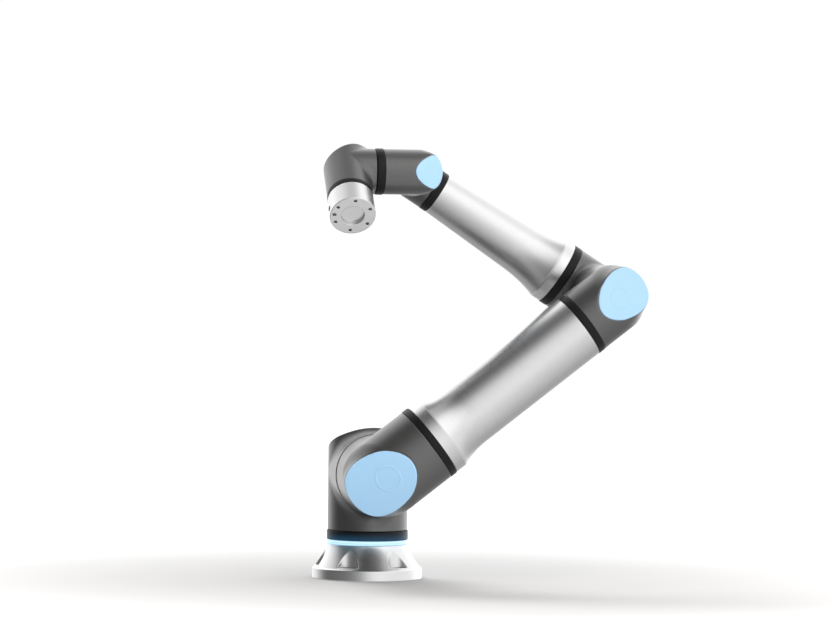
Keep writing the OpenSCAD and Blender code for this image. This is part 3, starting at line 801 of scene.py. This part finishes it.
def tool():
    """Turned flange with its recess, six tapped holes and the dowel hole"""
    roll = math.radians(TOOL_ROLL)
    face = TOOL_OFFSET
    back = face - TOOL_LENGTH

    def field(p):
        radius = np.hypot(p[0], p[2])
        f = smax(radius - TOOL_R, p[1] - face, 1.6)
        f = smax(f, back - p[1], 1.0)
        recess = np.maximum(radius - RECESS_R, face - RECESS_DEPTH - p[1])
        f = smax(f, -recess, 0.9)
        angle = np.arctan2(-p[2], p[0]) - roll
        near = angle % (math.pi / 3) - math.pi / 6
        hole = np.hypot(radius * np.cos(near) - TOOL_PCD / 2, radius * np.sin(near)) - SCREW_R
        f = smax(f, -np.maximum(hole, face - SCREW_DEPTH - p[1]), 0.9)
        dowel = angle - math.pi
        side = radius * np.sin(dowel)
        pin = np.hypot(radius * np.cos(dowel) - TOOL_PCD / 2, side) - DOWEL_R
        f = smax(f, -np.maximum(pin, face - DOWEL_DEPTH - p[1]), 0.9)
        port = np.hypot(side, face - PORT_DROP - p[1]) - PORT_R
        return np.maximum(f, -np.maximum(port, np.maximum(PORT_FLOOR - radius, -np.cos(dowel))))

    r = TOOL_R + 2
    finish = turned_metal("tool_metal", 0.72, 0.33, Place(wrist_2_at, tool_axis, UP))
    cast("tool_skin", field, (-r, back - 2, -r), (r, face + 2, r), 0.9, WRIST_2, finish, "tool", ["tool_flange"])


# ---------------------------------------------------------------- the CAD nodes that stay
def finish_cad_nodes():
    """Materials of the drives, the boards, the gland and the connector"""
    slots = {s["node"]: s["material_slot"] for s in frame["record"]["subparts"]}
    for node, piece in frame["nodes"].items():
        finish = CAD_FINISH.get(slots[node])
        if finish:
            piece.data.materials.clear()
            piece.data.materials.append(finish)


# ---------------------------------------------------------------- studio
def world():
    """Soft studio: what metal mirrors is set by direction, and the camera sees plain white"""
    scene = bpy.context.scene
    scene.view_settings.view_transform = "Standard"
    made = bpy.data.worlds.new("studio")
    scene.world = made
    made.use_nodes = True
    tree = made.node_tree
    background = tree.nodes["Background"]
    place = add(tree, "ShaderNodeTexCoord")

    split = add(tree, "ShaderNodeSeparateXYZ")
    flip = add(tree, "ShaderNodeMath", operation="MULTIPLY")
    flip.inputs[1].default_value = -1.0
    azimuth = add(tree, "ShaderNodeMath", operation="ARCTAN2")
    share = add(tree, "ShaderNodeMapRange")
    share.inputs["From Min"].default_value = -math.pi
    share.inputs["From Max"].default_value = math.pi
    tree.links.new(place.outputs["Generated"], split.inputs["Vector"])
    tree.links.new(split.outputs["Y"], flip.inputs[0])
    tree.links.new(split.outputs["X"], azimuth.inputs[0])
    tree.links.new(flip.outputs["Value"], azimuth.inputs[1])
    tree.links.new(azimuth.outputs["Value"], share.inputs["Value"])

    def round_the_room(levels):
        """Brightness for each azimuth in degrees, 0 in front and 90 on the right"""
        stops = [((a + 180) / 360, grey(v / ROOM)) for a, v in levels]
        return ramp(tree, share.outputs["Result"], stops)

    def blend(lower, upper, start, end):
        """Goes from one to the other between two heights of the direction that light comes from"""
        level = add(tree, "ShaderNodeMapRange", interpolation_type="SMOOTHSTEP")
        level.inputs["From Min"].default_value = start
        level.inputs["From Max"].default_value = end
        tree.links.new(split.outputs["Z"], level.inputs["Value"])
        mixed = add(tree, "ShaderNodeMix", data_type="RGBA")
        tree.links.new(level.outputs["Result"], mixed.inputs[0])
        tree.links.new(lower, mixed.inputs[6])
        tree.links.new(upper, mixed.inputs[7])
        return mixed.outputs[2]

    high = round_the_room([
        (-180, 1.6), (-155, 1.9), (-130, 1.3), (-114, 0.9), (-98, 0.12), (-73, 0.08), (-47, 0.12), (-29, 0.3),
        (-15, 0.8), (-2, 1.25), (12, 1.5), (43, 1.6), (70, 1.3), (110, 1.3), (146, 1.6), (180, 1.6)])
    middle = round_the_room([
        (-180, 1.4), (-145, 1.3), (-126, 0.7), (-108, 0.12), (-83, 0.15), (-48, 0.2), (-20, 0.4), (0, 1.1),
        (15, 1.25), (40, 1.15), (73, 1.15), (102, 1.3), (126, 1.9), (150, 1.8), (180, 1.4)])
    low = round_the_room([
        (-180, 0.5), (-139, 0.5), (-100, 0.25), (-67, 0.35), (-27, 0.5), (0, 1.05), (15, 1.1), (29, 1.0),
        (47, 0.9), (73, 0.75), (113, 0.55), (180, 0.5)])
    room = blend(blend(low, middle, -0.45, -0.1), high, 0.05, 0.4)
    ceiling = add(tree, "ShaderNodeRGB")
    ceiling.outputs[0].default_value = (*grey(0.6 / ROOM), 1)
    room = blend(room, ceiling.outputs[0], 0.82, 0.98)
    rays = add(tree, "ShaderNodeLightPath")
    pick = add(tree, "ShaderNodeMix", data_type="RGBA")
    tree.links.new(rays.outputs["Is Camera Ray"], pick.inputs[0])
    tree.links.new(room, pick.inputs[6])
    pick.inputs[7].default_value = (*grey(BACKDROP / ROOM), 1)
    tree.links.new(pick.outputs[2], background.inputs["Color"])
    background.inputs["Strength"].default_value = ROOM


def softbox(name, at, size, power, color=(1, 1, 1), target=(0.2, -0.15, 0.5)):
    """Area light that metal doesn't mirror"""
    light = bpy.data.lights.new(name, "AREA")
    light.color = color
    light.shape = "RECTANGLE"
    light.size, light.size_y = size
    light.energy = power
    lamp = bpy.data.objects.new(name, light)
    lamp.location = at
    lamp.rotation_euler = (Vector(target) - Vector(at)).to_track_quat("-Z", "Y").to_euler()
    lamp.visible_glossy = False
    bpy.context.scene.collection.objects.link(lamp)


def studio():
    world()
    softbox("back_softbox", (-1.2, 2.6, 3.6), (2.2, 1.6), 100)
    softbox("front_softbox", (0.3, -1.5, 1.9), (1.2, 1.0), 7, (1.0, 0.78, 0.62), (0.15, -0.25, 0.75))
    softbox("low_softbox", (-1.0, -1.8, 0.3), (0.6, 0.4), 9, (1.0, 0.95, 0.92), (0.0, -0.3, 0.25))
    floor()


def floor():
    """Pale floor that fades into the white background away from the arm: a painted light, an emission that grows
    with the distance from the arm, so the floor is darker near it
    """
    size = 60.0
    mesh = bpy.data.meshes.new("floor")
    mesh.from_pydata([(-size, -size, 0), (size, -size, 0), (size, size, 0), (-size, size, 0)], [], [(0, 1, 2, 3)])
    made, tree, shader = material("floor_white")
    speckle(tree, shader.inputs["Base Color"], noise(tree, 3), 0.565, 0.575)
    shader.inputs["Roughness"].default_value = 0.9
    shader.inputs["Specular IOR Level"].default_value = 0.0
    place = add(tree, "ShaderNodeTexCoord")
    reach = add(tree, "ShaderNodeVectorMath", operation="LENGTH")
    far = add(tree, "ShaderNodeMapRange", interpolation_type="SMOOTHSTEP")
    far.inputs["From Min"].default_value = 0.25
    far.inputs["From Max"].default_value = 2.0
    tree.links.new(place.outputs["Object"], reach.inputs[0])
    tree.links.new(reach.outputs["Value"], far.inputs["Value"])
    # painted light: emission that brightens the floor away from the arm
    painted_floor_glow = ramp(tree, far.outputs["Result"], [(0.0, grey(0.0)), (1.0, grey(0.6))])
    tree.links.new(painted_floor_glow, shader.inputs["Emission Color"])
    shader.inputs["Emission Strength"].default_value = 1.0
    mesh.materials.append(made)
    ground = bpy.data.objects.new("floor", mesh)
    bpy.context.scene.collection.objects.link(ground)
    ground.visible_glossy = False


def camera():
    data = bpy.data.cameras.new("camera")
    data.sensor_width = 36.0
    data.lens = CAMERA_LENS
    data.clip_end = 100
    lens = bpy.data.objects.new("camera", data)
    level = math.cos(CAMERA_PITCH)
    forward = Vector((math.sin(CAMERA_YAW) * level, math.cos(CAMERA_YAW) * level, math.sin(CAMERA_PITCH)))
    right = Vector((math.cos(CAMERA_YAW), -math.sin(CAMERA_YAW), 0))
    up = right.cross(forward)
    side = right * math.cos(CAMERA_ROLL) + up * math.sin(CAMERA_ROLL)
    top = up * math.cos(CAMERA_ROLL) - right * math.sin(CAMERA_ROLL)
    turn = Matrix((side, top, -forward)).transposed().to_4x4()
    lens.matrix_world = Matrix.Translation(CAMERA_AT) @ turn
    bpy.context.scene.collection.objects.link(lens)
    bpy.context.scene.camera = lens


camera()
studio()
castings()
rings()
tubes()
base()
tool()
finish_cad_nodes()
